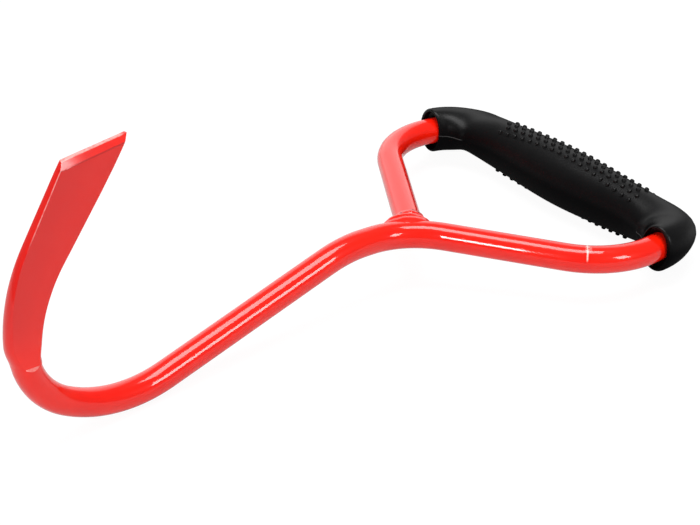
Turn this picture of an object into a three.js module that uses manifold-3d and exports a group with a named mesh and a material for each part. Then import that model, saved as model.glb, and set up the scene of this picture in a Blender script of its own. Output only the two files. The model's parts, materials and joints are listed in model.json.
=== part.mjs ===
// A hand log hook. One round steel bar is forged flat into a cutting blade at one end, bent into a
// hook, and closed at the other end into a hand loop whose last end is welded to the bar's own bend.
// A moulded rubber grip with rows of small nubs sleeves the far side of the loop.
// Millimetres. The tool lies on a level floor: +X runs from the hook to the grip, +Y along the grip,
// +Z up. The loop is first laid out flat, from the middle of the grip, and then tilted to its rest.

import * as THREE from 'three';
import { mergeGeometries, mergeVertices } from 'three/addons/utils/BufferGeometryUtils.js';
import Module from 'manifold-3d';

const { PI, sin, cos, tan, ceil, max, abs } = Math;
const degrees = PI / 180;
const quarterTurn = PI / 2;

// The bar stock
const barDiameter = 12;
const barSides = 24;
const bendStep = 6 * degrees; // how finely bends are cut into rings

// The hand loop, on the bar's centre line
const loopWidth = 147.2;
const gripBendRadius = 16.9; // the two bends inside the grip
const legLength = 5.3; // straight legs between those bends and the arms
const legTaper = 5.1 * degrees; // the legs draw in a little towards the grip
const armBendRadius = 38.4;
const nearArmSpread = 54.9 * degrees; // each arm's angle to the tool's length
const farArmSpread = 57.5 * degrees;

// The neck, shank and hook, on the bar's centre line
const neckBendRadius = 35; // the near arm runs into the shank
const neckLength = 4; // straight and level, before the shank falls away
const shankDrop = 18.75 * degrees; // its angle to the loop's plane
const dropBendRadius = 61;
const shankLength = 85.4;
const hookBendRadius = 60.8;
const hookBendAngle = 46 * degrees;
const throatBendRadius = 34.6;
const throatBendAngle = 62.75 * degrees;
const bladeBendRadius = 69;
const bladeBendAngle = 31 * degrees;
const bladeTipLength = 44.5; // straight, up to the middle of the cutting edge

// The forged blade
const shoulderBack = 9; // the shoulder's distance down the bar from the end of the throat bend
const shoulderSlant = 9 * degrees;
const shoulderRise = 2; // length of the sloped step at the shoulder
const flareLength = 9; // where the bar widens to the blade's root
const rootWidth = 15.4;
const tipWidth = 23.7;
const shoulderThickness = 8;
const middleThickness = 4.7;
const middleHeight = 38; // from the shoulder to where the taper eases
const tipThickness = 3.2;
const edgeSlant = 49.6 * degrees; // the cutting edge's angle to the blade
const edgeLand = 1.5; // blunt strip left along the edge
const bevelRun = 2.6;

// The weld round the far arm's foot: half-widths in the loop's plane, half-heights across it and
// shifts towards the hook, at distances from the neck's centre line
const footInset = 2.5; // where the arm is cut off
const weldEnd = 11.8;
const weldLip = 10.6;
const weldLipWidth = 6.9;
const weldLipHeight = 7;
const weldValley = 8.2;
const weldValleyWidth = 8.1;
const weldValleyHeight = 6.8;
const weldValleyShift = 0.5;
const weldBelly = 5.6;
const weldBellyWidth = 11;
const weldBellyHeight = 7.3;
const weldToe = 2.5;
const weldToeWidth = 11.8;
const weldToeHeight = 7;
const weldRootBeyond = 0.8; // past the neck's centre line
const weldRootHeight = 5.9;
const weldShift = 1.6;
const weldRippleShare = 0.02;
const weldRipples = 8;
const weldSides = 32;

// The grip: half-widths in the loop's plane, half-heights across it, and how far its middle
// lies outside the bar, from the middle of the grip to its mouth
const sleeveLeg = 2.2; // how far it covers the legs
const gripCentreHalfWidth = 12.5;
const gripCentreHalfHeight = 13.7;
const gripNeckHalfWidth = 10.2;
const gripNeckHalfHeight = 11.8;
const gripNeckBack = 12; // the neck's distance from the bend
const gripNeckOffset = 0.5;
const gripCornerHalfWidth = 13.4;
const gripCornerHalfHeight = 9.2;
const gripCornerOffset = 0.9;
const gripHeelHalfWidth = 11.3;
const gripHeelHalfHeight = 10;
const gripMouthHalfWidth = 8.2;
const gripMouthHalfHeight = 10.6;
const gripMouthOffset = 0.7;
const gripCornerShare = 0.25; // where along the bend the corner and the heel lie
const gripHeelShare = 0.65;
const gripSides = 18; // one facet to each row of nubs
const mouthWall = 1.3;
const mouthDepth = 4.5;
const mouthRound = 1.2; // rounding of the outer edge at the mouth
const mouthRoundShare = 0.8; // how much it narrows the very end, for its length
const boreGap = 0.3; // between the bar and what sleeves or crosses it
const boreSides = 12;

// The nubs on the grip's palm side
const nubPitch = 4.65;
const nubsPerRow = 19;
const nubOuterRow = 6; // rows on each side of the middle one
const nubHeight = 0.8;
const nubRootRadius = 1.1;
const nubTopRadius = 0.7;
const nubSink = 0.7;
const nubSides = 5;

const overrun = 3; // how far a cutting tool runs past what it cuts
const halvings = 40; // of each search by halving

const barRadius = barDiameter / 2;
const wasm = await Module();
wasm.setup();

// Solids

function solidOf(geometry) {
  const bare = geometry.clone();
  for (const name of Object.keys(bare.attributes)) {
    if (name !== 'position') bare.deleteAttribute(name);
  }
  const merged = mergeVertices(bare);
  return new wasm.Manifold(new wasm.Mesh({
    numProp: 3,
    vertProperties: new Float32Array(merged.attributes.position.array),
    triVerts: new Uint32Array(merged.index.array),
  }));
}

function geometryOf(solid) {
  const mesh = solid.getMesh();
  const geometry = new THREE.BufferGeometry();
  geometry.setAttribute('position', new THREE.BufferAttribute(new Float32Array(mesh.vertProperties), 3));
  geometry.setIndex(new THREE.BufferAttribute(new Uint32Array(mesh.triVerts), 1));
  geometry.computeVertexNormals();
  return geometry;
}

// A skin over rings of points, its ends capped, or joined to each other when it is a closed round
function skin(rings, closedRound = false) {
  const sides = rings[0].length;
  const points = rings.flat();
  const faces = [];
  const spans = closedRound ? rings.length : rings.length - 1;
  for (let i = 0; i < spans; i += 1) {
    const here = i * sides;
    const next = ((i + 1) % rings.length) * sides;
    for (let j = 0; j < sides; j += 1) {
      const k = (j + 1) % sides;
      faces.push(here + j, here + k, next + k, here + j, next + k, next + j);
    }
  }
  if (!closedRound) {
    for (const [ring, flip] of [[0, true], [rings.length - 1, false]]) {
      const middle = points.length;
      points.push(rings[ring].reduce((sum, p) => sum.add(p), new THREE.Vector3()).divideScalar(sides));
      for (let j = 0; j < sides; j += 1) {
        const a = ring * sides + j;
        const b = ring * sides + (j + 1) % sides;
        faces.push(...(flip ? [middle, b, a] : [middle, a, b]));
      }
    }
  }
  const geometry = new THREE.BufferGeometry().setFromPoints(points);
  geometry.setIndex(enclosed(points, faces) < 0 ? faces.reverse() : faces);
  return geometry;
}

function enclosed(points, faces) {
  let sum = 0;
  for (let i = 0; i < faces.length; i += 3) {
    const [a, b, c] = [points[faces[i]], points[faces[i + 1]], points[faces[i + 2]]];
    sum += a.dot(b.clone().cross(c));
  }
  return sum;
}

// A prism whose outline is drawn in the plane of along and up, and runs equally far to both sides
function prism(outline, origin, along, up, halfDepth) {
  const shape = new THREE.Shape(outline.map(([u, v]) => new THREE.Vector2(u, v)));
  const geometry = new THREE.ExtrudeGeometry(shape, { depth: 2 * halfDepth, bevelEnabled: false });
  geometry.translate(0, 0, -halfDepth);
  const across = along.clone().cross(up);
  return geometry.applyMatrix4(new THREE.Matrix4().makeBasis(along, up, across).setPosition(origin));
}

// The centre line. Each run is straight or an even bend: turn is in the loop's plane, dip out of it

const straight = (length) => ({ length, turn: 0, dip: 0 });
const bend = (radius, turn) => ({ length: radius * abs(turn), turn, dip: 0 });
const rise = (radius, dip) => ({ length: radius * abs(dip), turn: 0, dip });
const chordShare = (angle) => (angle === 0 ? 1 : sin(angle / 2) / (angle / 2));

function frameAt(point, turn, dip, travelled) {
  return {
    point: point.clone(),
    travelled,
    along: new THREE.Vector3(cos(dip) * cos(turn), cos(dip) * sin(turn), sin(dip)),
    level: new THREE.Vector3(-sin(turn), cos(turn), 0),
    steep: new THREE.Vector3(-sin(dip) * cos(turn), -sin(dip) * sin(turn), cos(dip)),
  };
}

function layRuns(start, startTurn, runs, straightStep = Infinity) {
  const point = start.clone();
  let [turn, dip, travelled] = [startTurn, 0, 0];
  const frames = [frameAt(point, turn, dip, travelled)];
  for (const run of runs) {
    const angle = max(abs(run.turn), abs(run.dip));
    const steps = max(1, ceil(angle / bendStep), angle === 0 ? ceil(run.length / straightStep) : 1);
    for (let i = 0; i < steps; i += 1) {
      const half = frameAt(point, turn + run.turn / steps / 2, dip + run.dip / steps / 2, 0);
      point.addScaledVector(half.along, run.length / steps * chordShare(angle / steps));
      turn += run.turn / steps;
      dip += run.dip / steps;
      travelled += run.length / steps;
      frames.push(frameAt(point, turn, dip, travelled));
    }
  }
  return frames;
}

// A ring of points round a frame; flat lies along level, tall along steep
function ringAt(frame, flat, tall, sides, offset = 0) {
  return Array.from({ length: sides }, (_, i) => {
    const angle = 2 * PI * (i + 0.5) / sides;
    return frame.point.clone()
      .addScaledVector(frame.level, offset + flat * cos(angle))
      .addScaledVector(frame.steep, tall * sin(angle));
  });
}

// Half of the loop, from the middle of the grip; side is -1 for the near arm and 1 for the far one

const legBend = quarterTurn - legTaper;
const gripHalfLength = loopWidth / 2 - armBendRadius * (1 - cos(legTaper))
  - legLength * sin(legTaper) - gripBendRadius * cos(legTaper);
const armToApex = (spread) => (loopWidth / 2 - armBendRadius * (1 - cos(spread))) / sin(spread);
const gripMiddle = new THREE.Vector3();

function loopHalf(side, spread, armLength) {
  return [
    straight(gripHalfLength),
    bend(gripBendRadius, side * legBend),
    straight(legLength),
    bend(armBendRadius, side * (spread + legTaper)),
    straight(armLength),
  ];
}

// The near half of the loop, the neck, the shank, the hook and the blade
const bladeOverrun = tipWidth / 2 / tan(edgeSlant) + overrun;
const hookRuns = [
  ...loopHalf(-1, nearArmSpread, armToApex(nearArmSpread) - neckBendRadius * tan(nearArmSpread / 2)),
  bend(neckBendRadius, nearArmSpread),
  straight(neckLength),
  rise(dropBendRadius, -shankDrop),
  straight(shankLength),
  rise(hookBendRadius, hookBendAngle),
  rise(throatBendRadius, throatBendAngle),
  rise(bladeBendRadius, bladeBendAngle),
  straight(bladeTipLength),
  straight(bladeOverrun),
];
const hookLine = layRuns(gripMiddle, -quarterTurn, hookRuns);

function distanceTo(line, point) {
  const nearest = new THREE.Vector3();
  return Math.min(...line.slice(1).map((frame, i) => {
    new THREE.Line3(line[i].point, frame.point).closestPointToPoint(point, true, nearest);
    return nearest.distanceTo(point);
  }));
}

// The far half of the loop; halving finds the length at which its foot comes near the neck
const farHalf = (length) => layRuns(gripMiddle, quarterTurn, loopHalf(1, farArmSpread, length));

function farArmLength() {
  let [low, high] = [0, armToApex(farArmSpread) + barRadius];
  for (let i = 0; i < halvings; i += 1) {
    const middle = (low + high) / 2;
    if (distanceTo(hookLine, farHalf(middle).at(-1).point) > footInset) low = middle;
    else high = middle;
  }
  return low;
}

const farLength = farArmLength();
const farLine = farHalf(farLength);

const lengthOf = (runs) => runs.reduce((sum, run) => sum + run.length, 0);
const throatEnd = lengthOf(hookRuns.slice(0, -3));
const bladeEnd = lengthOf(hookRuns.slice(0, -1));
const shoulderAt = throatEnd - shoulderBack;

function along(line, travelled) {
  const next = max(1, line.findIndex((frame) => frame.travelled >= travelled));
  const [a, b] = [line[next - 1], line[next]];
  const share = (travelled - a.travelled) / (b.travelled - a.travelled);
  return {
    point: a.point.clone().lerp(b.point, share),
    along: a.along.clone().lerp(b.along, share).normalize(),
  };
}

// The bar

function barHalfWidth(travelled) {
  if (travelled <= shoulderAt) return barRadius;
  const flare = (travelled - shoulderAt) / flareLength;
  if (flare < 1) return barRadius + (rootWidth / 2 - barRadius) * sin(quarterTurn * flare);
  const share = (travelled - shoulderAt - flareLength) / (bladeEnd - shoulderAt - flareLength);
  return rootWidth / 2 + (tipWidth - rootWidth) / 2 * share;
}

// What the forging dies press away on one side of the blade, from the shoulder to past the tip
function pressedAway(side) {
  const shoulder = along(hookLine, shoulderAt);
  const axis = new THREE.Vector3(0, 1, 0);
  const lengthwise = shoulder.along.clone().applyAxisAngle(axis, shoulderSlant);
  const tip = hookLine.at(-1).point.clone().sub(shoulder.point);
  const reach = tip.dot(lengthwise) + tipWidth;
  const easing = (middleThickness - tipThickness) / 2 * (reach - middleHeight)
    / (along(hookLine, bladeEnd).point.sub(shoulder.point).dot(lengthwise) - middleHeight);
  const outline = [
    [0, barRadius + overrun],
    [0, barRadius],
    [shoulderRise, shoulderThickness / 2],
    [middleHeight, middleThickness / 2],
    [reach, middleThickness / 2 - easing],
    [reach, barRadius + overrun],
  ];
  const outwards = axis.clone().multiplyScalar(side);
  return prism(outline, shoulder.point, lengthwise, outwards, reach);
}

// The slanting cut at the tip with its one-sided bevel, as the space beyond them
function cutAway() {
  const middle = along(hookLine, bladeEnd);
  const axis = new THREE.Vector3(0, 1, 0);
  const edge = middle.along.clone().applyAxisAngle(axis, edgeSlant);
  const beyond = edge.clone().applyAxisAngle(axis, -quarterTurn);
  const land = tipThickness / 2 - edgeLand;
  const slope = (tipThickness - edgeLand) / bevelRun;
  const outline = [
    [0, land],
    [0, tipThickness + overrun],
    [2 * tipWidth, tipThickness + overrun],
    [2 * tipWidth, -tipThickness - overrun],
    [-(overrun + tipThickness + land) / slope, -tipThickness - overrun],
  ];
  return prism(outline, middle.point, beyond, axis, 2 * tipWidth);
}

function makeBar() {
  const hookRings = hookLine.map((f) => ringAt(f, barRadius, barHalfWidth(f.travelled), barSides));
  const farRings = farLine.map((f) => ringAt(f, barRadius, barRadius, barSides));
  const lap = farLine[0].level.clone().cross(farLine[0].steep).setLength(barRadius);
  farRings[0] = farRings[0].map((p) => p.clone().sub(lap));
  return solidOf(skin(hookRings))
    .subtract(solidOf(pressedAway(1)))
    .subtract(solidOf(pressedAway(-1)))
    .subtract(solidOf(cutAway()))
    .add(solidOf(skin(farRings)));
}

// The weld

const weldStations = [
  [weldEnd, barRadius, barRadius, 0],
  [weldLip, weldLipWidth, weldLipHeight, 0],
  [weldValley, weldValleyWidth, weldValleyHeight, weldValleyShift],
  [weldBelly, weldBellyWidth, weldBellyHeight, weldShift],
  [weldToe, weldToeWidth, weldToeHeight, weldShift],
  [-weldRootBeyond, weldToeWidth, weldRootHeight, weldShift],
];

function makeWeld() {
  const foot = farLine.at(-1);
  const rings = weldStations.map(([at, width, height, shift], i) => {
    const point = foot.point.clone().addScaledVector(foot.along, footInset - at);
    return ringAt({ ...foot, point }, width, height, weldSides, -shift).map((p, j) => {
      const phase = 2 * PI * weldRipples * j / weldSides + quarterTurn * i;
      return point.clone().lerp(p, 1 + weldRippleShare * sin(phase));
    });
  });
  const clear = barRadius + boreGap;
  const grown = (line) => solidOf(skin(line.map((f) => ringAt(f, clear, clear, barSides))));
  return solidOf(skin(rings))
    .subtract(grown(hookLine))
    .subtract(grown(farHalf(farLength + boreGap)));
}

// The grip

const mouthAt = gripHalfLength + gripBendRadius * legBend + sleeveLeg;
const bendPoint = (share) => gripHalfLength + gripBendRadius * legBend * share;
const gripStations = [
  [0, gripCentreHalfWidth, gripCentreHalfHeight, 0],
  [gripHalfLength - gripNeckBack, gripNeckHalfWidth, gripNeckHalfHeight, gripNeckOffset],
  [bendPoint(gripCornerShare), gripCornerHalfWidth, gripCornerHalfHeight, gripCornerOffset],
  [bendPoint(gripHeelShare), gripHeelHalfWidth, gripHeelHalfHeight, 0],
  [mouthAt, gripMouthHalfWidth, gripMouthHalfHeight, gripMouthOffset],
];

// The slope of a value at a station, from its neighbours; level at the middle of the grip
function slopeAt(station, value) {
  if (station === 0) return 0;
  const [a, b] = [gripStations[station - 1], gripStations[station + 1] ?? gripStations[station]];
  return (b[value] - a[value]) / (b[0] - a[0]);
}

// Half-width, half-height and offset at a distance from the middle, on a smooth curve
function gripSize(distance) {
  const found = gripStations.findIndex(([at]) => at >= distance);
  const next = found < 0 ? gripStations.length - 1 : max(1, found);
  const [a, b] = [gripStations[next - 1], gripStations[next]];
  const span = b[0] - a[0];
  const t = (distance - a[0]) / span;
  return [1, 2, 3].map((i) => (1 + 2 * t) * (1 - t) ** 2 * a[i] + t ** 2 * (3 - 2 * t) * b[i]
    + span * t * (1 - t) * ((1 - t) * slopeAt(next - 1, i) - t * slopeAt(next, i)));
}

const nubFieldHalf = nubPitch * nubsPerRow / 2;
const gripStep = 2 * nubPitch; // rings lie between the nubs
const gripRuns = (side, extra) => [
  straight(gripStep * Math.round(nubFieldHalf / gripStep)),
  straight(gripHalfLength - gripStep * Math.round(nubFieldHalf / gripStep)),
  bend(gripBendRadius, side * legBend),
  straight(sleeveLeg - mouthRound),
  straight(mouthRound + extra),
];

// Both halves as one line from mouth to mouth, each frame's level pointing out of the loop
function gripLine(extra, straightStep) {
  const half = (side) => layRuns(gripMiddle, side * quarterTurn, gripRuns(side, extra), straightStep)
    .map((frame) => ({ ...frame, level: frame.level.clone().multiplyScalar(-side) }));
  return [...half(1).reverse(), ...half(-1).slice(1)];
}

function makeGrip() {
  const outer = gripLine(0, gripStep).map((frame) => {
    const [width, height, offset] = gripSize(frame.travelled);
    const round = frame.travelled > mouthAt - mouthRound ? mouthRound * mouthRoundShare : 0;
    return ringAt(frame, width - round, height - round, gripSides, offset);
  });
  const clear = barRadius + boreGap;
  const bore = gripLine(overrun, Infinity).map((frame) => ringAt(frame, clear, clear, boreSides));
  return solidOf(skin(outer))
    .add(solidOf(makeNubs()))
    .subtract(solidOf(skin(bore)))
    .subtract(solidOf(makeMouth(1)))
    .subtract(solidOf(makeMouth(-1)));
}

// The hollow just inside a mouth, between the bar and the sleeve's rim
function makeMouth(side) {
  const line = layRuns(gripMiddle, side * quarterTurn, gripRuns(side, overrun));
  const end = line.at(-1);
  const depth = mouthDepth + overrun;
  const rings = [depth, 0].map((back) => {
    const frame = { ...end, point: end.point.clone().addScaledVector(end.along, -back) };
    const [width, height] = [gripMouthHalfWidth - mouthWall, gripMouthHalfHeight - mouthWall];
    return ringAt(frame, width, height, boreSides, -side * gripMouthOffset);
  });
  return skin(rings);
}

function makeNubs() {
  const cone = new THREE.CylinderGeometry(nubTopRadius, nubRootRadius, nubHeight + nubSink, nubSides);
  cone.translate(0, (nubHeight - nubSink) / 2, 0);
  const up = new THREE.Vector3(0, 1, 0);
  const nubs = [];
  for (let row = -nubOuterRow; row <= nubOuterRow; row += 1) {
    const round = 2 * PI * row / gripSides;
    const stagger = row % 2 === 0 ? 0 : nubPitch / 2;
    for (let i = 0; i < nubsPerRow; i += 1) {
      const y = (i - (nubsPerRow - 1) / 2) * nubPitch + stagger - nubPitch / 4;
      const [width, height, offset] = gripSize(abs(y));
      const place = new THREE.Vector3(offset + width * cos(round), y, height * sin(round));
      const out = new THREE.Vector3(cos(round) / width, 0, sin(round) / height).normalize();
      const nub = cone.clone().applyQuaternion(new THREE.Quaternion().setFromUnitVectors(up, out));
      nubs.push(nub.translate(place.x, place.y, place.z));
    }
  }
  return mergeGeometries(nubs);
}

// The finished pieces

const redPaint = new THREE.MeshStandardMaterial({ color: 0xe8291c, roughness: 0.25, metalness: 0.1 });
const weldPaint = new THREE.MeshStandardMaterial({ color: 0xe02a1e, roughness: 0.35, metalness: 0.1 });
const blackRubber = new THREE.MeshStandardMaterial({ color: 0x1c1d1e, roughness: 0.6, metalness: 0 });

function piece(name, solid, material) {
  const mesh = new THREE.Mesh(geometryOf(solid), material);
  mesh.name = name;
  return mesh;
}

const bar = piece('hook_bar', makeBar(), redPaint);
const weld = piece('loop_weld', makeWeld(), weldPaint);
const grip = piece('grip_sleeve', makeGrip(), blackRubber);

// The tilt at which the hook's bend and the grip touch the floor together
function lowest(mesh, tilt, upTo) {
  const place = mesh.geometry.attributes.position;
  let low = Infinity;
  for (let i = 0; i < place.count; i += 1) {
    if (place.getX(i) < upTo) low = Math.min(low, place.getZ(i) * cos(tilt) - place.getX(i) * sin(tilt));
  }
  return low;
}

function restTilt() {
  let [low, high] = [0, shankDrop];
  for (let i = 0; i < halvings; i += 1) {
    const tilt = (low + high) / 2;
    if (lowest(bar, tilt, -loopWidth) < lowest(grip, tilt, Infinity)) low = tilt;
    else high = tilt;
  }
  return low;
}

const tool = new THREE.Group();
tool.add(bar, weld, grip);
tool.rotation.y = restTilt();

const part = new THREE.Group();
part.add(tool);
part.updateMatrixWorld(true);
const box = new THREE.Box3().setFromObject(part, true);
const middle = box.getCenter(new THREE.Vector3());
tool.position.set(-middle.x, -middle.y, -box.min.z);

export default part;
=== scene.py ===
import bmesh
import bpy
import json
import math
from mathutils import Matrix, Vector

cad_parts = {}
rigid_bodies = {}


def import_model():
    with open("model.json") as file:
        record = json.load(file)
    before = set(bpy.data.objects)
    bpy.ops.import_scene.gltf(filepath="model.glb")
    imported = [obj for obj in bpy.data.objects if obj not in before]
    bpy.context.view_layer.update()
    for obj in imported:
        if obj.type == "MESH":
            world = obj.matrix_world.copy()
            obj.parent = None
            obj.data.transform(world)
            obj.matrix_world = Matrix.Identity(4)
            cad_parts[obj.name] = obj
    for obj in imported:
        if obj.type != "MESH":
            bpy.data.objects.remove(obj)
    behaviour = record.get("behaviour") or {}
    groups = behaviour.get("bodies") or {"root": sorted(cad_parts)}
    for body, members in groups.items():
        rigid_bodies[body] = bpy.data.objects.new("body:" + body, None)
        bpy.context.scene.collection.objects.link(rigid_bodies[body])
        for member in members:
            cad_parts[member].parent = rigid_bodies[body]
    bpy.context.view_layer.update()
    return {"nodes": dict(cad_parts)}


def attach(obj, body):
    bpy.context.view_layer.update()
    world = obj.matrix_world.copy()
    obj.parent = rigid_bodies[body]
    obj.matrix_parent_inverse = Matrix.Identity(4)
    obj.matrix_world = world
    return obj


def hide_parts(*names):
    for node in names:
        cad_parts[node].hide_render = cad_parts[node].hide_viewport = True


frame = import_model()
print("CAD frame loaded:", ", ".join(sorted(frame["nodes"])))

mm = 0.001
degree = math.radians(1)
slack = 0.01 * mm  # for telling places apart
wideSlack = 0.1 * mm
scene = bpy.context.scene

# Every piece is modelled lying straight along X, with the far arm's foot at 0, and is bent along
# the bar's line at the end. Straight +Z ends up inside the hook, straight +Y outside the loop.

barPath = {
    "nearHalf": [  # length in mm, turn and dip in degrees, from the middle of the grip
        (56.144, 0, 0), (25.042, -84.9, 0), (5.3, 0, 0), (40.212, -60, 0), (51.83, 0, 0),
        (33.536, 54.9, 0), (4, 0, 0), (19.962, 0, -18.75), (85.4, 0, 0),
        (48.813, 0, 46), (37.893, 0, 62.75), (37.333, 0, 31), (44.5, 0, 0), (13.09, 0, 0)],
    "farHalf": [(56.144, 0, 0), (25.042, 84.9, 0), (5.3, 0, 0), (41.955, 62.6, 0), (70.009, 0, 0)],
    "gripMiddle": 198.45,  # mm from the far arm's foot
    "bendStep": 1.5,  # degrees
    "straightStep": 4,  # mm
    "tilt": 6.1546,  # degrees, at which hook and grip rest on the floor
    "place": (138.3313, 0, 14.4934),  # mm, the middle of the grip
}


# Editing helpers

def onlyThis(piece):
    if bpy.context.object and bpy.context.object.mode != "OBJECT":
        bpy.ops.object.mode_set(mode="OBJECT")
    bpy.ops.object.select_all(action="DESELECT")
    piece.select_set(True)
    bpy.context.view_layer.objects.active = piece


def startEditing(piece):
    onlyThis(piece)
    bpy.ops.object.mode_set(mode="EDIT")


def stopEditing():
    bpy.ops.object.mode_set(mode="OBJECT")


def pickPoints(wanted):
    bpy.ops.mesh.select_mode(type="VERT")
    bpy.ops.mesh.select_all(action="DESELECT")
    mesh = bmesh.from_edit_mesh(bpy.context.object.data)
    for point in mesh.verts:
        if wanted(point):
            point.select_set(True)
    mesh.select_flush(True)


# Picks those points of the end ring whose place passes. The ring bounds the one face left selected
def pickInRing(wanted):
    mesh = bmesh.from_edit_mesh(bpy.context.object.data)
    mesh.verts.index_update()
    ring = {point.index for face in mesh.faces if face.select for point in face.verts}
    pickPoints(lambda point: point.index in ring and wanted(point.co))
    return ring


def pickAgain(ring):
    pickPoints(lambda point: point.index in ring)
    bpy.ops.mesh.select_mode(type="FACE")


def pickEdges(wanted):
    bpy.ops.mesh.select_mode(type="EDGE")
    bpy.ops.mesh.select_all(action="DESELECT")
    for edge in bmesh.from_edit_mesh(bpy.context.object.data).edges:
        if wanted(edge):
            edge.select_set(True)


def pickFaces(wanted):
    bpy.ops.mesh.select_mode(type="FACE")
    bpy.ops.mesh.select_all(action="DESELECT")
    for face in bmesh.from_edit_mesh(bpy.context.object.data).faces:
        if wanted(face):
            face.select_set(True)


def startRing(name, sides, x, radius):
    onlyThis(bpy.context.object or scene.objects[0])
    bpy.ops.object.select_all(action="DESELECT")
    bpy.ops.mesh.primitive_circle_add(vertices=sides, radius=radius, fill_type="NGON",
                                      location=(x, 0, 0), rotation=(0, 90 * degree, 0))
    piece = bpy.context.object
    piece.name = piece.data.name = name
    bpy.ops.object.transform_apply(location=True, rotation=True, scale=True)
    startEditing(piece)
    bpy.ops.mesh.select_all(action="SELECT")
    return piece


def extrudeBy(distance):
    bpy.ops.mesh.extrude_region_move(TRANSFORM_OT_translate={"value": (distance, 0, 0)})


def resize(x, y, z, centre):
    bpy.ops.transform.resize(value=(x, y, z), center_override=centre)


def move(x, y, z):
    bpy.ops.transform.translate(value=(x, y, z))


# Cuts the lengthwise edges between two places into rings
def cutRings(start, end, pitch):
    low, high = start - slack, end + slack
    pickEdges(lambda edge: abs(edge.verts[0].co.x - edge.verts[1].co.x) > pitch
              and all(low < point.co.x < high for point in edge.verts))
    bpy.ops.mesh.subdivide(number_cuts=max(1, math.ceil((end - start) / pitch) - 1))


# The bar's line, as a curve that bends a straight piece

def walk(heading, runs):
    point, turn, dip = Vector(), heading, 0
    line = [point.copy()]
    for length, turned, dipped in runs:
        turned, dipped = turned * degree, dipped * degree
        angle = max(abs(turned), abs(dipped))
        steps = math.ceil(max(angle / (barPath["bendStep"] * degree),
                              length / barPath["straightStep"]))
        half = angle / steps / 2
        share = math.sin(half) / half if angle else 1
        for step in range(steps):
            level = turn + turned * (step + 0.5) / steps
            rise = dip + dipped * (step + 0.5) / steps
            flat = math.cos(rise)
            heads = Vector((flat * math.cos(level), flat * math.sin(level), math.sin(rise)))
            point = point + heads * (length * mm * share / steps)
            line.append(point.copy())
        turn, dip = turn + turned, dip + dipped
    return line


def makeBarLine():
    farLine = walk(90 * degree, barPath["farHalf"])
    points = farLine[:0:-1] + walk(-90 * degree, barPath["nearHalf"])
    curve = bpy.data.curves.new("barLine", "CURVE")
    curve.dimensions = "3D"
    curve.twist_mode = "MINIMUM"
    spline = curve.splines.new("POLY")
    spline.points.add(len(points) - 1)
    for slot, point in zip(spline.points, points):
        slot.co = (*point, 1)
    line = bpy.data.objects.new("barLine", curve)
    scene.collection.objects.link(line)
    return line


# Keeps each point's straight place for the materials, bends the piece and lays it at rest
def bendToBar(piece, line):
    onlyThis(piece)
    straight = piece.data.attributes.new("straight", "FLOAT_VECTOR", "POINT")
    places = [part for point in piece.data.vertices for part in point.co]
    straight.data.foreach_set("vector", places)
    bend = piece.modifiers.new("bend", "CURVE")
    bend.object = line
    bend.deform_axis = "POS_X"
    bpy.ops.object.modifier_apply(modifier=bend.name)
    piece.rotation_euler = (0, barPath["tilt"] * degree, 0)
    piece.location = Vector(barPath["place"]) * mm
    bpy.ops.object.transform_apply(location=True, rotation=True, scale=True)


barLine = makeBarLine()
gripMiddle = barPath["gripMiddle"] * mm


# The bar, from the far arm's foot to the cutting edge

rod = {
    "radius": 5.94 * mm,
    "sides": 48,
    "ringPitch": 2.2 * mm,
    "spans": [0, 61, 110, 198.45, 290, 370, 450, 530, 596],  # mm, the plain spans' ends
    "shoulder": 399 * mm,  # from the grip's middle
    "bladeEnd": 490.7 * mm,
    "shoulderSlant": 12 * degree,
    "slantFades": (0.75, 0.5, 0.25),  # shares of the slant left in the next sections
    "shoulderLean": 53 * degree,  # of the crescent's face, from square across the bar
    "shoulderThick": 10.1 * mm,
    "shoulderWidening": 1.05,
    "crispTurn": 60 * degree,  # where on the round the blade's crisp edges start
    "plainBefore": 2.2 * mm,
    "shoulderSteps": (1, 0.85, 0.15, 0),  # shares of the crescent's face that are left at its rings
    # mm beyond the shoulder, half-width, thickness, how round the narrow sides are
    "bladeSections": [
        (3.6, 6.48, 9.15, 1), (5.2, 6.88, 8.7, 1), (7, 7.3, 8.15, 1), (9, 7.62, 7.65, 1),
        (13.5, 7.93, 7.2, 1), (23.6, 8.44, 6.3, 0.9), (31, 8.82, 5.55, 0.75), (40, 9.27, 4.72, 0.6),
        (52, 9.88, 4.3, 0.5), (77, 11.15, 3.5, 0.5), (88, 11.4, 3.3, 0.5), (95, 11.3, 3.2, 0.5),
        (108, 10.6, 3.1, 0.5)],
    "uncutPitches": 1.4,  # a blade section up to this many ring pitches long gets no rings
    "edgeSlant": 49.6 * degree,
    "bevelSlope": (1.7, 2.6),  # rise and run
    "landStart": -0.1 * mm,  # where the bevel meets the cut, from the middle of the blade
    "edgeRound": 0.3 * mm,
    "sharpFold": 24 * degree,  # folds beyond this are rounded
    "roundFrom": 0.5 * mm,  # beyond the foot of the shoulder
    "litWithin": 3 * mm,  # how near the shoulder's foot the crescents' faces lie
    "litFacing": (0.3, 0.75),  # and how much they face the tip
}


# Takes the end ring from one section of the blade to the next. A section is the half-width, the
# flat's half-width, where the crisp edges lie, and the thickness
def shapeBladeRing(old, new, x):
    stretch = (new[0] - new[1]) / (old[0] - old[1])
    still = (new[1] - stretch * old[1]) / (1 - stretch)
    for side in (1, -1):
        ring = pickInRing(lambda p: p.z * side > 0 and abs(p.y) < old[2] / 2 - slack)
        resize(1, new[2] / old[2], stretch, (x, 0, side * still))
        pickAgain(ring)
    for side in (1, -1):
        ring = pickInRing(lambda p: p.y * side > old[2] / 2 - slack)
        resize(1, 0, new[1] / old[1], (x, side * new[2] / 2, 0))
        pickAgain(ring)


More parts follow.
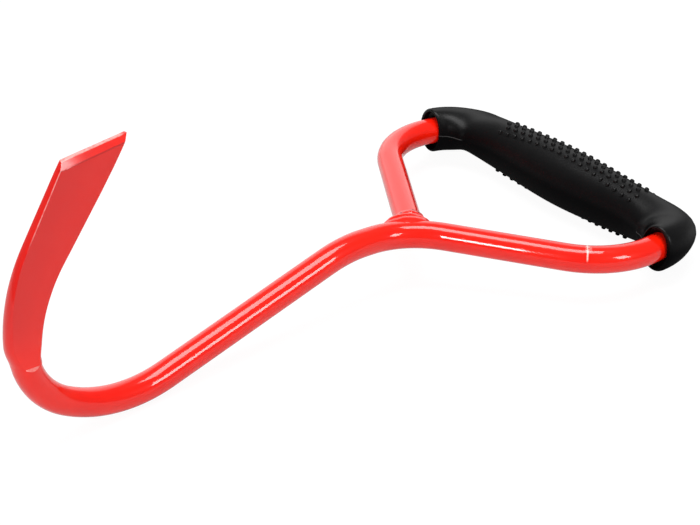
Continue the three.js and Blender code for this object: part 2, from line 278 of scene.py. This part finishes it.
def makeRod():
    radius, spans = rod["radius"], rod["spans"]
    piece = startRing("bentBar", rod["sides"], 0, radius)
    for start, end in zip(spans, spans[1:]):
        extrudeBy((end - start) * mm)
    shoulder = gripMiddle + rod["shoulder"]
    corner = radius * math.sin(rod["crispTurn"])
    halfThick = rod["shoulderThick"] / 2

    # The shoulder: the end ring leans up both sides to a crescent, then slopes in to the flats
    lean, widening = rod["shoulderLean"], rod["shoulderWidening"]
    extrudeBy(shoulder - rod["plainBefore"] - spans[-1] * mm)
    extrudeBy(rod["plainBefore"])
    for side in (1, -1):
        ring = pickInRing(lambda p: p.y * side > corner - slack)
        top = (shoulder, side * radius, 0)
        bpy.ops.transform.rotate(value=-side * lean, orient_axis="Z", center_override=top)
        resize(1 / math.cos(lean), 1 / math.cos(lean), 1, top)
        pickAgain(ring)
    ring = pickInRing(lambda p: abs(p.y) < corner - slack)
    move((radius - corner) * math.tan(lean), 0, 0)
    resize(1, 1, widening, (shoulder, 0, 0))
    pickAgain(ring)
    foot = shoulder + (radius - halfThick) * math.tan(lean)
    for here, there in zip(rod["shoulderSteps"], rod["shoulderSteps"][1:]):
        extrudeBy(0)
        share = there / here
        edge, nextEdge = (halfThick + (corner - halfThick) * part for part in (here, there))
        for side in (1, -1):
            ring = pickInRing(lambda p: p.y * side > edge - slack)
            resize(share, share, 1, (foot, side * halfThick, 0))
            pickAgain(ring)
        ring = pickInRing(lambda p: abs(p.y) < nextEdge - wideSlack)
        resize(share, nextEdge / edge, 1, (foot, 0, 0))
        pickAgain(ring)

    # The forged blade
    section, reached = (radius * widening, radius * math.cos(rod["crispTurn"]), 2 * halfThick), foot
    for along, half, thick, roundness in rod["bladeSections"]:
        extrudeBy(shoulder + along * mm - reached)
        reached = shoulder + along * mm
        flat = half * mm * (1 - roundness * (1 - math.sqrt(1 - (thick * mm / 2 / radius) ** 2)))
        new = (half * mm, flat, thick * mm)
        shapeBladeRing(section, new, reached)
        section = new

    # The shoulder lies at a slant, which fades into the blade
    slanted = [(1, shoulder, shoulder, foot)] + [
        (share, place, place, place) for share, place in
        zip(rod["slantFades"], (shoulder + section[0] * mm for section in rod["bladeSections"]))]
    points = bmesh.from_edit_mesh(piece.data).verts
    rings = [{point.index for point in points if low - wideSlack < point.co.x < high + wideSlack}
             for share, place, low, high in slanted]
    for (share, place, low, high), ring in zip(slanted, rings):
        pickPoints(lambda point: point.index in ring)
        slant = share * rod["shoulderSlant"]
        bpy.ops.transform.rotate(value=slant, orient_axis="Y", center_override=(place, 0, 0))
        resize(1, 1, 1 / math.cos(slant), (place, 0, 0))

    for start, end in zip(spans, spans[1:]):
        cutRings(start * mm, end * mm, rod["ringPitch"])
    stations = [shoulder + section[0] * mm for section in rod["bladeSections"]]
    for start, end in zip(stations, stations[1:]):
        if end - start > rod["uncutPitches"] * rod["ringPitch"]:
            cutRings(start, end, rod["ringPitch"])

    # The slanting cut at the tip, and its bevel on the +Y side
    tip = gripMiddle + rod["bladeEnd"]
    beyond = Vector((math.sin(rod["edgeSlant"]), 0, -math.cos(rod["edgeSlant"])))
    bpy.ops.mesh.select_all(action="SELECT")
    bpy.ops.mesh.bisect(plane_co=(tip, 0, 0), plane_no=beyond, use_fill=True, clear_outer=True)
    rise, run = rod["bevelSlope"]
    bpy.ops.mesh.select_all(action="SELECT")
    bevel = (beyond * rise + Vector((0, run, 0))).normalized()
    bpy.ops.mesh.bisect(plane_co=(tip, rod["landStart"], 0), plane_no=bevel, use_fill=True,
                        clear_outer=True)
    bpy.ops.mesh.select_all(action="SELECT")
    bpy.ops.mesh.remove_doubles(threshold=slack)
    bpy.ops.mesh.normals_make_consistent(inside=False)

    pickEdges(lambda edge: edge.is_manifold and edge.calc_face_angle() > rod["sharpFold"]
              and min(point.co.x for point in edge.verts) > foot + rod["roundFrom"])
    bpy.ops.mesh.bevel(offset=rod["edgeRound"], segments=2, affect="EDGES", clamp_overlap=True)
    stopEditing()

    # The crescents get a painted highlight
    def isLitCrescent(face):
        low, high = rod["litFacing"]
        return (abs(face.center.x - foot) < rod["litWithin"] and abs(face.center.y) > halfThick
                and low < face.normal.x < high)

    crescentHighlight = piece.data.attributes.new("crescentHighlight", "FLOAT", "FACE")
    crescentHighlight.data.foreach_set("value", [float(isLitCrescent(face)) for face in piece.data.polygons])
    return piece


bentBar = makeRod()
print("bar:", len(bentBar.data.polygons), "faces")
bendToBar(bentBar, barLine)


# The weld round the far arm's foot, from its root in the neck to its lip on the arm

weldBead = {
    "sides": 64,
    "sections": [  # mm along the arm, half-width, half-height, shift towards the hook
        (-3.3, 11.6, 5.9, 1.6), (-2.2, 11.9, 6.4, 1.6), (-0.8, 12, 6.9, 1.6),
        (0.2, 11.7, 7.05, 1.6), (0.9, 11.3, 6.95, 1.6), (1.5, 11.1, 6.95, 1.6),
        (2.2, 11.2, 7.3, 1.6), (3.1, 10.9, 7.35, 1.6), (3.9, 10.1, 7.15, 1.3), (4.6, 9.2, 6.7, 1),
        (5.2, 8.5, 6.35, 0.7), (5.7, 8.1, 6.3, 0.5), (6.1, 7.8, 6.5, 0.35), (6.5, 7.6, 6.66, 0.25),
        (7.2, 7.4, 6.7, 0.15), (8, 7.15, 6.66, 0.1), (8.6, 6.85, 6.55, 0), (9, 6.5, 6.35, 0),
        (9.3, 6.1, 6.1, 0), (9.5, 5.8, 5.8, 0)],
    "lipFrom": 5.7,  # the section where the lip starts
    "lipSlant": 15 * degree,
    "lipShift": 1.5 * mm,
    "lumpSize": 3.2 * mm,
    "lumpHeight": 0.75 * mm,
}


def makeWeld():
    along, wide, high, shift = weldBead["sections"][0]
    piece = startRing("armWeld", weldBead["sides"], along * mm, 1 * mm)
    resize(1, wide, high, (along * mm, 0, 0))
    move(0, shift * mm, 0)
    for old, new in zip(weldBead["sections"], weldBead["sections"][1:]):
        extrudeBy((new[0] - old[0]) * mm)
        resize(1, new[1] / old[1], new[2] / old[2], (new[0] * mm, old[3] * mm, 0))
        move(0, (new[3] - old[3]) * mm, 0)
        if new[0] == weldBead["lipFrom"]:
            slant = weldBead["lipSlant"]
            bpy.ops.transform.rotate(value=slant, orient_axis="Y",
                                     center_override=(new[0] * mm, 0, 0))
            resize(1, 1, 1 / math.cos(slant), (0, 0, 0))
            move(weldBead["lipShift"], 0, 0)
    bpy.ops.mesh.select_all(action="SELECT")
    bpy.ops.mesh.normals_make_consistent(inside=False)
    stopEditing()
    lumps = bpy.data.textures.new("weldLumps", "CLOUDS")
    lumps.noise_scale = weldBead["lumpSize"]
    uneven = piece.modifiers.new("uneven", "DISPLACE")
    uneven.texture = lumps
    uneven.strength = weldBead["lumpHeight"]
    bpy.ops.object.modifier_apply(modifier=uneven.name)
    return piece


armWeld = makeWeld()
bendToBar(armWeld, barLine)
print("weld:", len(armWeld.data.polygons), "faces")


# The moulded rubber grip, and its nubs

grip = {
    "sides": 72,
    "ringPitch": 1.9 * mm,
    "stations": [  # mm from the middle, half-width, half-height, offset out of the loop
        (0, 12.5, 13.7, 0), (44.144, 10.2, 11.8, 0.5), (62.405, 13.4, 9.2, 0.9),
        (72.422, 11.3, 10, 0), (83.386, 8.2, 10.6, 0.7)],
    "rimRound": 1.2 * mm,
    "rimNarrows": 0.6,  # share of the rounding by which the rim gets narrower
    "rimSteps": 5,
    "rimWall": 1.3 * mm,
    "hollowDepth": 3.4 * mm,
    "hollowHalf": 6.55 * mm,
    "hollowOffset": (-0.03 * mm, 0.5 * mm),  # out of the loop, at the near mouth and at the far one
    "hollowRings": [  # mm inward from the mouth, wider, higher
        (0.05, 0.2, 0.25), (0.35, 0, 0), (2.6, -0.05, -0.25)],
    "hollowFloor": 6.5 * mm,  # radius where the hollow's floor meets the bore's mouth
    "boreRadius": 6.25 * mm,
    "boreMouth": 0.2 * mm,  # how deep the bore's mouth narrows to the bore
    "boreSpan": 50 * mm,  # only the bore has edges longer than this
    "boreCuts": 60,
}

nub = {
    "pitch": 4.65 * mm,
    "perRow": 19,
    "rows": (-6, 7),  # from the underside to the top, row 0 in the middle of the palm side
    "rowPitch": 3.6 * mm,  # measured round the sleeve
    "rowShift": 0.37 * mm,  # each row starts this much later than the one below
    "height": 0.95 * mm,
    "sunk": 0.5 * mm,
    "rootRadius": 1.2 * mm,
    "topRadius": 0.9 * mm,
    "sides": 10,
    "topRound": 0.42 * mm,
    "openBelow": -0.9,  # faces that look down more than this are left out
}


# Half-width, half-height and offset at a distance from the grip's middle, on a smooth curve
def gripSection(distance):
    stations = grip["stations"]
    last = len(stations) - 1
    distance = min(abs(distance) / mm, stations[last][0])
    nxt = next(i for i in range(1, last + 1) if stations[i][0] >= distance)
    before, after = stations[nxt - 1], stations[nxt]
    span = after[0] - before[0]
    t = (distance - before[0]) / span

    def slope(i, value):
        if i == 0:
            return 0
        low, high = stations[i - 1], stations[min(i + 1, last)]
        return (high[value] - low[value]) / (high[0] - low[0])

    return [mm * ((1 + 2 * t) * (1 - t) ** 2 * before[v] + t * t * (3 - 2 * t) * after[v]
                  + span * t * (1 - t) * ((1 - t) * slope(nxt - 1, v) - t * slope(nxt, v)))
            for v in (1, 2, 3)]


# Rings round the whole sleeve: outside from mouth to mouth, then back through the bore
def gripRings():
    mouth = grip["stations"][-1][0] * mm
    rim, wall, depth = grip["rimRound"], grip["rimWall"], grip["hollowDepth"]
    wide, high, offset = gripSection(mouth)
    plain = mouth - rim
    count = math.ceil(2 * plain / grip["ringPitch"])
    rings = []
    for step in range(count + 1):
        along = -plain + 2 * plain * step / count
        rings.append((along, *gripSection(along)))
    lip = []
    for step in range(1, grip["rimSteps"] + 1):
        turn = 90 * degree * step / grip["rimSteps"]
        shrink = rim * grip["rimNarrows"] * (1 - math.cos(turn))
        lip.append((plain + rim * math.sin(turn), wide - shrink, high - shrink, offset))
    half, halfHigh = grip["hollowHalf"], high - wall
    floor = mouth - depth
    bore = [(floor, grip["hollowFloor"], grip["hollowFloor"], 0),
            (floor - grip["boreMouth"], grip["boreRadius"], grip["boreRadius"], 0)]
    nearSide, farSide = (
        lip + [(mouth - inward * mm, half + wider * mm, halfHigh + higher * mm, lean)
               for inward, wider, higher in grip["hollowRings"]] + bore
        for lean in grip["hollowOffset"])
    return rings + nearSide + [(-along, *rest) for along, *rest in reversed(farSide)]


def makeGrip():
    rings = gripRings()
    along, wide, high, offset = rings[0]
    piece = startRing("gripSleeve", grip["sides"], gripMiddle + along, 1 * mm)
    resize(1, wide / mm, high / mm, (gripMiddle + along, 0, 0))
    move(0, offset, 0)
    for old, new in zip(rings, rings[1:]):
        extrudeBy(new[0] - old[0])
        resize(1, new[1] / old[1], new[2] / old[2], (gripMiddle + new[0], old[3], 0))
        move(0, new[3] - old[3], 0)
    pickFaces(lambda face: len(face.verts) > 4)
    bpy.ops.mesh.delete(type="ONLY_FACE")
    pickEdges(lambda edge: edge.is_boundary)
    bpy.ops.mesh.bridge_edge_loops()
    # The bore's long span is cut, so that it follows the bends
    pickEdges(lambda edge: abs(edge.verts[0].co.x - edge.verts[1].co.x) > grip["boreSpan"])
    bpy.ops.mesh.subdivide(number_cuts=grip["boreCuts"])
    bpy.ops.mesh.select_all(action="SELECT")
    bpy.ops.mesh.remove_doubles(threshold=slack)
    bpy.ops.mesh.normals_make_consistent(inside=False)
    stopEditing()
    return piece


def makeNub():
    bpy.ops.object.select_all(action="DESELECT")
    tall = nub["height"] + nub["sunk"]
    bpy.ops.mesh.primitive_cone_add(
        vertices=nub["sides"], radius1=nub["rootRadius"], radius2=nub["topRadius"], depth=tall,
        location=(0, 0, nub["height"] - tall / 2))
    piece = bpy.context.object
    bpy.ops.object.transform_apply(location=True, rotation=True, scale=True)
    startEditing(piece)
    pickEdges(lambda edge: all(point.co.z > nub["height"] - slack for point in edge.verts))
    bpy.ops.mesh.bevel(offset=nub["topRound"], segments=2, affect="EDGES")
    pickFaces(lambda face: face.normal.z < nub["openBelow"])
    bpy.ops.mesh.delete(type="FACE")
    stopEditing()
    return piece


# Rows of nubs round the palm side, each standing square on the sleeve
def addNubs(sleeve):
    first = makeNub()
    copies = []
    lowest, highest = nub["rows"]
    for row in range(lowest, highest + 1):
        stagger = nub["pitch"] / 2 if row % 2 else 0
        for i in range(nub["perRow"]):
            along = ((i - (nub["perRow"] - 1) / 2) * nub["pitch"] + stagger - nub["pitch"] / 4
                     - (row - lowest) * nub["rowShift"])
            wide, high, offset = gripSection(along)
            turn = row * nub["rowPitch"] * 2 / (wide + high)
            level, rise = math.cos(turn), math.sin(turn)
            place = Vector((gripMiddle - along, offset + wide * level, high * rise))
            out = Vector((0, level / wide, rise / high)).normalized()
            copy = first.copy()
            copy.data = first.data.copy()
            turned = out.to_track_quat("Z", "X").to_matrix().to_4x4()
            copy.matrix_world = Matrix.Translation(place) @ turned
            scene.collection.objects.link(copy)
            copies.append(copy)
    bpy.data.objects.remove(first)
    onlyThis(sleeve)
    for copy in copies:
        copy.select_set(True)
    bpy.ops.object.join()
    print("nubs:", len(copies))


gripSleeve = makeGrip()
addNubs(gripSleeve)
bendToBar(gripSleeve, barLine)
print("grip:", len(gripSleeve.data.polygons), "faces")
bpy.data.objects.remove(barLine)

smoothBelow = 30 * degree  # folds up to this are shaded smooth


def steadyShading(piece):
    onlyThis(piece)
    bpy.ops.object.shade_smooth_by_angle(angle=smoothBelow)
    flats = piece.modifiers.new("flats", "WEIGHTED_NORMAL")
    flats.keep_sharp = True
    bpy.ops.object.modifier_apply(modifier=flats.name)


for piece, node, slot in ((bentBar, "hook_bar", "paint"), (armWeld, "loop_weld", "weld_paint"),
                          (gripSleeve, "grip_sleeve", "rubber")):
    steadyShading(piece)
    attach(piece, "root")
    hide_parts(node)


# Shader maths as Python expressions

class Shade:
    def __init__(self, finish, socket):
        self.finish, self.socket = finish, socket

    def maths(self, operation, *values):
        return self.finish.node("ShaderNodeMath", {"operation": operation}, dict(enumerate(values)))

    def __add__(self, other):
        return self.maths("ADD", self, other)

    def __sub__(self, other):
        return self.maths("SUBTRACT", self, other)

    def __rsub__(self, other):
        return self.maths("SUBTRACT", other, self)

    def __mul__(self, other):
        return self.maths("MULTIPLY", self, other)

    def __neg__(self):
        return self.maths("MULTIPLY", self, -1)

    def __abs__(self):
        return self.maths("ABSOLUTE", self)

    __radd__ = __add__
    __rmul__ = __mul__

    def least(self, other):
        return self.maths("MINIMUM", self, other)

    def most(self, other):
        return self.maths("MAXIMUM", self, other)

    # Runs from 0 at low to 1 at high
    def between(self, low, high):
        return self.finish.node("ShaderNodeMapRange", {"interpolation_type": "SMOOTHSTEP"},
                                {"Value": self, "From Min": low, "From Max": high})

    # 1 up to a limit and 0 beyond it, soft for two fifths of the limit to either side
    def upTo(self, limit):
        return 1 - self.between(limit * 0.6, limit * 1.4)

    # 1 within half of a middle, falling to 0 over an edge
    def band(self, middle, half, edge):
        return 1 - abs(self - middle).between(half, half + edge)


class Finish:
    def __init__(self, owner):
        owner.use_nodes = True
        self.material, self.tree = owner, owner.node_tree
        self.straight = self.attribute("straight", "Vector")
        self.along, self.out, self.up = self.parts(self.straight)

    def node(self, kind, settings, values, output=0):
        made = self.tree.nodes.new(kind)
        for key, setting in settings.items():
            setattr(made, key, setting)
        for key, value in values.items():
            self.feed(made.inputs[key], value)
        return Shade(self, made.outputs[output])

    def feed(self, socket, value):
        if isinstance(value, Shade):
            self.tree.links.new(value.socket, socket)
        else:
            socket.default_value = value

    def parts(self, vector):
        split = self.node("ShaderNodeSeparateXYZ", {}, {"Vector": vector}).socket.node
        return [Shade(self, split.outputs[axis]) for axis in "XYZ"]

    def attribute(self, name, output):
        return self.node("ShaderNodeAttribute", {"attribute_name": name}, {}, output)

    # The straight piece's own space, in units of a size
    def laid(self, size):
        return self.node("ShaderNodeMapping", {},
                         {"Vector": self.straight, "Scale": (1 / size,) * 3})

    def noise(self, size, detail):
        return self.node("ShaderNodeTexNoise", {},
                         {"Vector": self.laid(size), "Scale": 1, "Detail": detail})

    def mix(self, share, first, second):
        return self.node("ShaderNodeMix", {"data_type": "RGBA"}, {0: share, 6: first, 7: second}, 2)

    def bump(self, height, depth):
        return self.node("ShaderNodeBump", {}, {"Height": height, "Distance": depth, "Strength": 1})

    # Whether a ray is the camera's own, also through glass, and whether it comes from a gloss
    def rays(self):
        byCamera, byGlass, byGloss = (
            self.node("ShaderNodeLightPath", {}, {}, kind)
            for kind in ("Is Camera Ray", "Is Transmission Ray", "Is Glossy Ray"))
        return byCamera.most(byGlass), byGloss

    def principled(self):
        return self.tree.nodes["Principled BSDF"]

    # Blends the Principled shader with another one, and puts the result on the surface
    def blend(self, share, other):
        both = self.node("ShaderNodeMixShader", {}, {
            0: share, 1: Shade(self, self.principled().outputs[0]), 2: other})
        self.tree.links.new(both.socket, self.tree.nodes["Material Output"].inputs["Surface"])

    def wear(self, piece, sockets):
        for name, value in sockets.items():
            self.feed(self.principled().inputs[name], value)
        piece.data.materials.clear()
        piece.data.materials.append(self.material)


def rgb(red, green, blue):
    return tuple(part / 12.92 if part <= 0.04045 else ((part + 0.055) / 1.055) ** 2.4
                 for part in (red / 255, green / 255, blue / 255)) + (1,)


paint = {
    "colour": rgb(250, 28, 7),
    "deep": rgb(246, 22, 5),
    "cloudSize": 14 * mm,
    "cloudLimits": (0.35, 0.65),
    "roughness": 0.34,
    "underGloss": 0.1,
    "coat": 1,
    "coatRoughness": 0.05,
    "peelSize": 2.6 * mm,
    "peelDepth": 0.001 * mm,
}

blade = {
    # painted shade on the blade's flats, fading in beyond the shoulder and strongest towards the
    # outside of the hook
    "shade": rgb(222, 21, 14),
    "shadeFrom": gripMiddle + rod["shoulder"] + 4 * mm,
    "shadeRun": 20 * mm,
    "shadeInside": 0.45,  # share of the shade towards the inside of the hook
    "shadeRise": 0.4,  # what is added towards the outside
    "shadeHalf": 8 * mm,
    # pale colour for the painted highlights on the crescents and the outer crisp edge, and for the
    # paler land along the cutting edge
    "pale": rgb(240, 178, 172),
    "paleMost": 0.8,
    "patchySize": 1.4 * mm,
    "patchyLimits": (0.3, 0.55),
    "crescentPale": 0.5,
    "crispPale": 0.6,
    # where the outer crisp edge is measured, how far out it lies there, and its slope
    "crispLine": (gripMiddle + rod["shoulder"] + 52 * mm, 9.54 * mm, 0.0547),
    "halfThick": (2.15 * mm, 0.0139),  # half the blade's thickness there, and its slope
    "crispRun": (-7 * mm, 5 * mm),  # where the pale line comes in
    "crispDepth": (-0.4 * mm, -0.15 * mm),
    "lineWidth": 0.2 * mm,
    "landPale": 0.7,
    "landWidth": 0.24 * mm,
    "landEnd": 9.5 * mm,  # short of the edge's inner corner
    "landFade": 1 * mm,
    # a painted shade line along the fold where the bevel meets the flat
    "creaseShade": rgb(196, 8, 4),
    "creaseShare": 0.8,
    "creaseAt": 2.8 * mm,  # from the cutting edge, where the bevel meets the flat
    "creaseHalf": 0.25 * mm,
    "creaseFade": 0.2 * mm,
}

mark = {  # a pale scratch over the near arm, and a smear at its top
    "colour": rgb(255, 205, 198),
    "along": 315.8 * mm,
    "half": 0.2 * mm,
    "fade": 0.2 * mm,
    "outer": (-3 * mm, -1.5 * mm),
    "up": (1.2 * mm, 3 * mm),
    "share": 0.85,
    "smearAlong": 315.4 * mm,
    "smearHalf": 0.9 * mm,
    "smearFade": 0.8 * mm,
    "smearUp": (4.6 * mm, 5.6 * mm),
    "smearGrain": 0.7 * mm,
    "smearLimits": (0.35, 0.6),
    "smearShare": 0.4,
    "most": 0.9,
}

weldPits = {
    "cell": 2 * mm,
    "radius": 0.36,  # share of a cell
    "depth": 0.25 * mm,
    "along": (3 * mm, 5 * mm),  # where the pits come in
    # painted shade in the pits
    "colour": rgb(120, 18, 24),
    "share": 0.8,
}


# The flats get a painted shade, darkest towards the outside of the hook; the crescents and the
# outer crisp edge get a painted highlight, and the cutting edge's land is painted paler
def wearBlade(finish, colour):
    across = (-finish.up).between(-blade["shadeHalf"], blade["shadeHalf"])
    flat = finish.along.between(blade["shadeFrom"], blade["shadeFrom"] + blade["shadeRun"])
    # painted shade on the flats
    shade = flat * (blade["shadeInside"] + blade["shadeRise"] * across)
    colour = finish.mix(shade, colour, blade["shade"])

    start, half, slope = blade["crispLine"]
    thick, thickSlope = blade["halfThick"]
    beyond = finish.along - start
    fromLine = -finish.up - (beyond * slope + half)
    fromFlat = finish.out - (thick - beyond * thickSlope)
    # a painted highlight along the outer crisp edge
    line = (fromLine.between(-blade["lineWidth"] * 1.5, -blade["lineWidth"] * 0.5)
            * fromFlat.between(*blade["crispDepth"]) * beyond.between(*blade["crispRun"]))

    tip = gripMiddle + rod["bladeEnd"]
    slant = rod["edgeSlant"]
    inside = (tip - finish.along) * math.sin(slant) + finish.up * math.cos(slant)
    landEnd, landFade = blade["landEnd"], blade["landFade"]
    # the cutting edge's land is painted paler
    land = inside.upTo(blade["landWidth"]) * (
        1 - finish.up.between(landEnd - landFade, landEnd + landFade))
    bevelSide = finish.out.between(0, 1 * mm)
    # painted shade where the bevel meets the flat
    creaseShade = inside.band(blade["creaseAt"], blade["creaseHalf"], blade["creaseFade"]) * bevelSide
    colour = finish.mix(creaseShade * blade["creaseShare"], colour, blade["creaseShade"])

    # the crescents' painted highlight
    crescent = finish.attribute("crescentHighlight", "Fac")
    # patches that break up the painted highlights and the paler land
    patchy = finish.noise(blade["patchySize"], 2).between(*blade["patchyLimits"])
    pale = (crescent * blade["crescentPale"] + line * blade["crispPale"]
            + land * blade["landPale"]).least(blade["paleMost"])
    return finish.mix(pale * (0.5 + 0.5 * patchy), colour, blade["pale"])


def scratchArm(finish, colour):
    outer = finish.out.between(*mark["outer"])
    scratch = (finish.along.band(mark["along"], mark["half"], mark["fade"]) * outer
               * finish.up.between(*mark["up"]))
    grain = finish.noise(mark["smearGrain"], 2).between(*mark["smearLimits"])
    smear = (finish.along.band(mark["smearAlong"], mark["smearHalf"], mark["smearFade"]) * outer
             * finish.up.between(*mark["smearUp"]) * grain)
    share = scratch * mark["share"] + smear * mark["smearShare"]
    return finish.mix(share.least(mark["most"]), colour, mark["colour"])


# Small pits near the weld's lip, bumped in and darkened with painted shade
def pitWeld(finish, colour):
    cells = finish.node("ShaderNodeTexVoronoi", {},
                        {"Vector": finish.laid(weldPits["cell"]), "Scale": 1}, "Distance")
    pits = cells.upTo(weldPits["radius"]) * finish.along.between(*weldPits["along"])
    return finish.mix(pits * weldPits["share"], colour, weldPits["colour"]), pits


def paintBar(piece, name):
    finish = Finish(bpy.data.materials.new(name))
    cloud = finish.noise(paint["cloudSize"], 3).between(*paint["cloudLimits"])
    colour = finish.mix(cloud, paint["colour"], paint["deep"])
    peel = finish.noise(paint["peelSize"], 1) * paint["peelDepth"]
    if piece is bentBar:
        colour = scratchArm(finish, wearBlade(finish, colour))
    else:
        colour, pits = pitWeld(finish, colour)
        peel = peel - pits * weldPits["depth"]
    finish.wear(piece, {
        "Base Color": colour, "Roughness": paint["roughness"], "Coat Weight": paint["coat"],
        "Coat Roughness": paint["coatRoughness"], "Specular IOR Level": paint["underGloss"],
        "Normal": finish.bump(peel, 1)})


paintBar(bentBar, "glossyRedPaint")
paintBar(armWeld, "paintedWeld")


rubber = {
    "dark": rgb(5, 5, 6),
    "light": rgb(10, 10, 11),
    "cloudSize": 9 * mm,
    "grainSize": 0.5 * mm,
    "grainDepth": 0.02 * mm,
    "roughness": 0.32,
    "roughnessRise": 0.12,  # what is added where the clouds are lightest
    "gloss": 0.25,
    "matteRoughness": 0.6,
    "edgeMatte": 0.85,  # how far the rubber loses its gloss towards its outline
    "edgeLimits": (0.3, 0.95),
    "shadedUnderShare": 0.9,  # and towards its underside, as painted shade for the floor's gloss that the grip shadows there
    "underLimits": (-1 * mm, 10 * mm),
    "seam": rgb(70, 70, 70),
    "seamHalf": 0.12 * mm,
    "seamInside": 2 * mm,  # it comes in over this depth on the side towards the loop
    "seamFrom": 57 * mm,  # the parting line shows on the legs, this far from the middle
    "seamRun": 6 * mm,
}


def dressGrip(piece):
    finish = Finish(bpy.data.materials.new("blackRubber"))
    grain = finish.noise(rubber["grainSize"], 2)
    cloud = finish.noise(rubber["cloudSize"], 3)
    colour = finish.mix(cloud, rubber["dark"], rubber["light"])
    fromMiddle = abs(finish.along - gripMiddle)
    legs = fromMiddle.between(rubber["seamFrom"], rubber["seamFrom"] + rubber["seamRun"])
    seam = (finish.up.band(0, rubber["seamHalf"], rubber["seamHalf"])
            * (-finish.out).between(0, rubber["seamInside"]) * legs)
    colour = finish.mix(seam, colour, rubber["seam"])
    finish.wear(piece, {
        "Base Color": colour, "Roughness": cloud * rubber["roughnessRise"] + rubber["roughness"],
        "Specular IOR Level": rubber["gloss"],
        "Normal": finish.bump(grain, rubber["grainDepth"])})
    facing = finish.node("ShaderNodeLayerWeight", {}, {"Blend": 0.5}, "Facing")
    matte = finish.node("ShaderNodeBsdfPrincipled", {}, {
        "Base Color": colour, "Diffuse Roughness": rubber["matteRoughness"],
        "Specular IOR Level": 0})
    edge = facing.between(*rubber["edgeLimits"]) * rubber["edgeMatte"]
    # painted shade: the underside loses its gloss, as the grip shadows the floor that it would
    # reflect
    shadedUnder = (1 - finish.up.between(*rubber["underLimits"])) * rubber["shadedUnderShare"]
    finish.blend(edge.most(shadedUnder), matte)


dressGrip(gripSleeve)
print("materials made")


# The floor, the lamps and the camera

studio = {
    "floorSize": 6,
    "floorDrop": 0.2 * mm,
    "floorColour": (0.63, 0.63, 0.63, 1),
    "floorRoughness": 0.6,
    "floorShown": 1.1,  # brightness of the floor for the camera
    "floorSeen": 0.68,  # and in the paint's gloss
    "floorGlow": 0.85,  # the share of the floor that glows for the camera and keeps no shadow
    "glossGlow": 0.4,  # the same in the paint's gloss
    # name, azimuth and elevation in degrees, distance, size across, size upwards, brightness
    "lamps": [
        ("topBox", 52.6, 86.5, 1.6, 1.3, 0.66, 5.8),
        ("sideBox", -76, 29, 1.8, 0.42, 0.55, 9),
        ("edgeStrip", -152.2, 29, 1.8, 0.1, 0.42, 22),
        ("softFill", -168, 42, 1.8, 1, 1, 2.25),
    ],
    "lampPower": 4,  # watts on a square metre at brightness 1
    "matteOnly": ["softFill"],  # lamps that the gloss doesn't show
    "backdropAt": 52.6,  # azimuth of the bright backdrop, seen over the tool
    "backdropLevel": 1.2,
    "backdropForward": (0.68, 0.8),  # its soft limits, as parts of a ray's direction
    "backdropAcross": (-0.55, -0.38),
    "backdropTop": (0.5, 0.8),
    "roomLevel": 0.22,
}
view = {
    "place": (-0.4710957, -0.6344488, 0.5030957),
    "right": (0.779158, -0.625548, -0.040043),
    "up": (0.350788, 0.382203, 0.854909),
    "forward": (0.519482, 0.680155, -0.517231),
    "lens": 113.59,
    "sensor": 36,
    "clip": (0.05, 20),
}


def makeFloor():
    bpy.ops.object.select_all(action="DESELECT")
    bpy.ops.mesh.primitive_plane_add(size=studio["floorSize"],
                                     location=(0, 0, -studio["floorDrop"]))
    floor = bpy.context.object
    floor.name = "floor"
    bpy.ops.object.transform_apply(location=True, rotation=True, scale=True)
    finish = Finish(bpy.data.materials.new("paleFloor"))
    byCamera, byGloss = finish.rays()
    level = byCamera * studio["floorShown"] + byGloss * studio["floorSeen"]
    white = finish.node("ShaderNodeEmission", {}, {"Color": (1, 1, 1, 1), "Strength": level})
    glow = (byCamera * studio["floorGlow"]).most(byGloss * studio["glossGlow"])
    finish.blend(glow, white)
    finish.wear(floor, {"Base Color": studio["floorColour"], "Roughness": studio["floorRoughness"]})


def makeWorld():
    world = bpy.data.worlds.new("studioWorld")
    scene.world = world
    sky = Finish(world)
    place = sky.node("ShaderNodeTexCoord", {}, {}, "Generated")
    turned = sky.node("ShaderNodeMapping", {"vector_type": "VECTOR"},
                      {"Vector": place, "Rotation": (0, 0, -studio["backdropAt"] * degree)})
    forward, across, upward = sky.parts(turned)
    backdrop = (forward.between(*studio["backdropForward"])
                * across.between(*studio["backdropAcross"])
                * (1 - upward.between(*studio["backdropTop"])))
    byCamera, byGloss = sky.rays()
    level = backdrop * (studio["backdropLevel"] - studio["roomLevel"]) + studio["roomLevel"]
    shown = level * (1 - byCamera) + byCamera
    ground = sky.tree.nodes["Background"]
    sky.feed(ground.inputs["Strength"], shown)
    ground.inputs["Color"].default_value = (1, 1, 1, 1)


def aim(thing, target):
    thing.rotation_euler = (Vector(target) - thing.location).to_track_quat("-Z", "Y").to_euler()


def makeLamps():
    for name, azimuth, elevation, distance, wide, tall, brightness in studio["lamps"]:
        lamp = bpy.data.lights.new(name, "AREA")
        lamp.shape = "RECTANGLE"
        lamp.size, lamp.size_y = wide, tall
        lamp.energy = brightness * studio["lampPower"] * wide * tall
        holder = bpy.data.objects.new(name, lamp)
        scene.collection.objects.link(holder)
        level = distance * math.cos(elevation * degree)
        holder.location = (level * math.cos(azimuth * degree), level * math.sin(azimuth * degree),
                           distance * math.sin(elevation * degree))
        aim(holder, (0, 0, 0))
        holder.visible_glossy = name not in studio["matteOnly"]


def makeCamera():
    lens = bpy.data.cameras.new("camera")
    lens.lens = view["lens"]
    lens.sensor_width = view["sensor"]
    lens.clip_start, lens.clip_end = view["clip"]
    camera = bpy.data.objects.new("camera", lens)
    scene.collection.objects.link(camera)
    axes = Matrix((view["right"], view["up"], [-part for part in view["forward"]])).transposed()
    camera.matrix_world = Matrix.Translation(view["place"]) @ axes.to_4x4()
    scene.camera = camera


makeFloor()
makeWorld()
makeLamps()
makeCamera()
scene.view_settings.view_transform = "Standard"
print("stage set")
